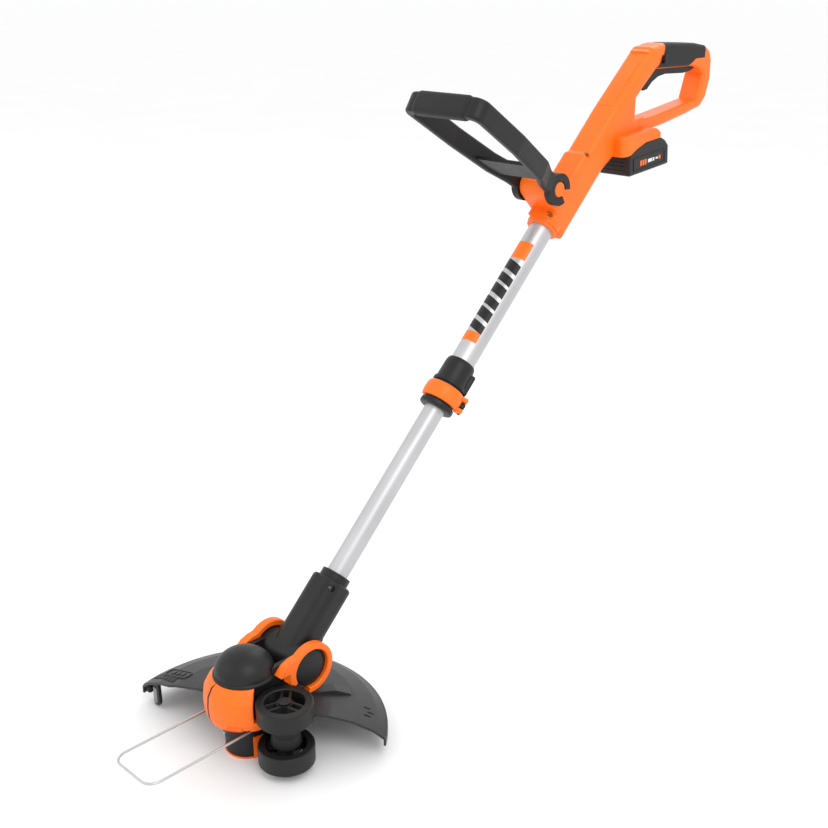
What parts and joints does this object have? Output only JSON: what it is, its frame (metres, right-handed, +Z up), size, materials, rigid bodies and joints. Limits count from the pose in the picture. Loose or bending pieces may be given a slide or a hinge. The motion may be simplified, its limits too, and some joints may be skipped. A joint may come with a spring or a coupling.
{
  "type": "string trimmer",
  "caption": "Battery string trimmer: telescoping tube shaft, D handle with trigger, tilting loop handle, slide-on battery, pivoting head with guard, guide wheels and wire guard.",
  "frame": {"origin": "centre of the spool cap's underside, on the ground under the line spool", "axes": "+Z up along the spool's axis; +Y back towards the user, along the ground under the shaft; +X to the user's left, the side with the guide wheels"},
  "size_m": [0.2766, 0.9649, 0.7076],
  "materials": {
    "orange_plastic": "moulded, satin",
    "black_plastic": "moulded, fine grain",
    "guard_plastic": "moulded, satin",
    "battery_plastic": "moulded, satin",
    "soft_grip": "soft overmould",
    "tube_aluminium": "drawn, satin anodised",
    "screw_steel": "blackened",
    "bright_steel": "ground",
    "spring_steel": "plated wire",
    "spool_plastic": "moulded",
    "line_nylon": "nylon line",
    "cell_wrap": "shrink sleeve"
  },
  "bodies": {
    "handle": {"handle_shell_left": "orange_plastic", "handle_shell_right": "orange_plastic", "soft_grip": "soft_grip", "handle_screws": "screw_steel", "trigger_pin": "bright_steel", "switch_module": "black_plastic", "knob_spring": "spring_steel", "battery_socket": "black_plastic", "upper_tube": "tube_aluminium", "clamp_sleeve": "black_plastic", "clamp_pin": "bright_steel"},
    "trigger": {"trigger": "black_plastic"},
    "lock_button": {"lock_button": "black_plastic"},
    "knob_left": {"knob_left": "orange_plastic"},
    "knob_right": {"knob_right": "orange_plastic"},
    "bail": {"bail_handle": "black_plastic", "bail_grip": "soft_grip"},
    "battery": {"battery_case": "battery_plastic", "battery_cover": "battery_plastic", "battery_cells": "cell_wrap"},
    "battery_latch": {"battery_latch": "black_plastic"},
    "clamp_lever": {"clamp_lever": "orange_plastic"},
    "slider": {"slide_bush": "black_plastic"},
    "lower_shaft": {"lower_tube": "tube_aluminium", "neck_shell_left": "black_plastic", "neck_shell_right": "black_plastic", "neck_screws": "screw_steel"},
    "head": {"pivot_axle": "bright_steel", "head_frame": "black_plastic", "motor_can": "bright_steel", "dome_cover": "black_plastic", "barrel_front_cover": "orange_plastic", "barrel_side_panel": "orange_plastic", "pivot_ring_left": "orange_plastic", "pivot_ring_right": "orange_plastic", "hub_cover_left": "black_plastic", "hub_cover_right": "black_plastic", "guard": "guard_plastic", "guard_screws": "screw_steel", "blade_holder": "black_plastic", "cutter_blade": "bright_steel", "blade_screws": "screw_steel", "wheel_bracket": "black_plastic", "bracket_screws": "screw_steel", "wheel_axle": "bright_steel", "axle_caps": "bright_steel", "wire_clips": "black_plastic"},
    "spool": {"motor_shaft": "bright_steel", "spool_housing": "black_plastic", "eyelets": "bright_steel", "spool": "spool_plastic", "line_winding": "line_nylon", "spool_spring": "spring_steel", "spool_cap": "orange_plastic"},
    "wheel_upper": {"wheel_upper": "black_plastic"},
    "wheel_lower": {"wheel_lower": "black_plastic"},
    "wire_guard": {"wire_guard": "spring_steel"}
  },
  "joints": [
    {"name": "trigger_pull", "type": "hinge", "parent": "handle", "child": "trigger", "pos_m": [0, 0.787, 0.6825], "axis": [-1, 0, 0], "range_deg": [0, 4], "stiffness_Nm_per_rad": 2},
    {"name": "lock_push", "type": "slide", "parent": "handle", "child": "lock_button", "axis": [-1, 0, 0], "range_m": [0, 0.0025], "stiffness_N_per_m": 150},
    {"name": "knob_left_push", "type": "slide", "parent": "handle", "child": "knob_left", "axis": [-1, 0, 0], "range_m": [0, 0.003], "stiffness_N_per_m": 200, "deforming": ["knob_spring"]},
    {"name": "knob_right_push", "type": "slide", "parent": "handle", "child": "knob_right", "axis": [1, 0, 0], "range_m": [0, 0.003], "stiffness_N_per_m": 200, "deforming": ["knob_spring"]},
    {"name": "bail_tilt", "type": "hinge", "parent": "handle", "child": "bail", "pos_m": [0, 0.47607, 0.55159], "axis": [1, 0, 0], "range_deg": [-45, 30]},
    {"name": "battery_slide", "type": "slide", "parent": "handle", "child": "battery", "axis": [0, 0.9956, 0.0932], "range_m": [0, 0.09]},
    {"name": "battery_latch_push", "type": "slide", "parent": "battery", "child": "battery_latch", "axis": [0, 0.0932, -0.9956], "range_m": [0, 0.0025], "stiffness_N_per_m": 150},
    {"name": "clamp_lever_swing", "type": "hinge", "parent": "handle", "child": "clamp_lever", "pos_m": [0.01963, 0.32131, 0.3175], "axis": [0, 0.7128, 0.7014], "range_deg": [0, 60]},
    {"name": "shaft_slide", "type": "slide", "parent": "handle", "child": "slider", "axis": [0, 0.7128, 0.7014], "range_m": [0, 0.16]},
    {"name": "shaft_turn", "type": "hinge", "parent": "slider", "child": "lower_shaft", "pos_m": [0, 0.3965, 0.41646], "axis": [0, 0.7128, 0.7014], "range_deg": [0, 180]},
    {"name": "head_tilt", "type": "hinge", "parent": "lower_shaft", "child": "head", "pos_m": [0, 0.0615, 0.0868], "axis": [1, 0, 0], "range_deg": [-30, 20]},
    {"name": "spool_spin", "type": "hinge", "parent": "head", "child": "spool", "pos_m": [0, 0, 0.03], "axis": [0, 0, 1], "continuous": true},
    {"name": "upper_wheel_spin", "type": "hinge", "parent": "head", "child": "wheel_upper", "pos_m": [0.06, 0.005, 0.07], "axis": [0, 0, 1], "continuous": true},
    {"name": "lower_wheel_spin", "type": "hinge", "parent": "head", "child": "wheel_lower", "pos_m": [0.06, 0.005, 0.02], "axis": [0, 0, 1], "continuous": true},
    {"name": "wire_guard_fold", "type": "hinge", "parent": "head", "child": "wire_guard", "pos_m": [0, -0.018, 0.044], "axis": [1, 0, 0], "range_deg": [0, 90]}
  ]
}
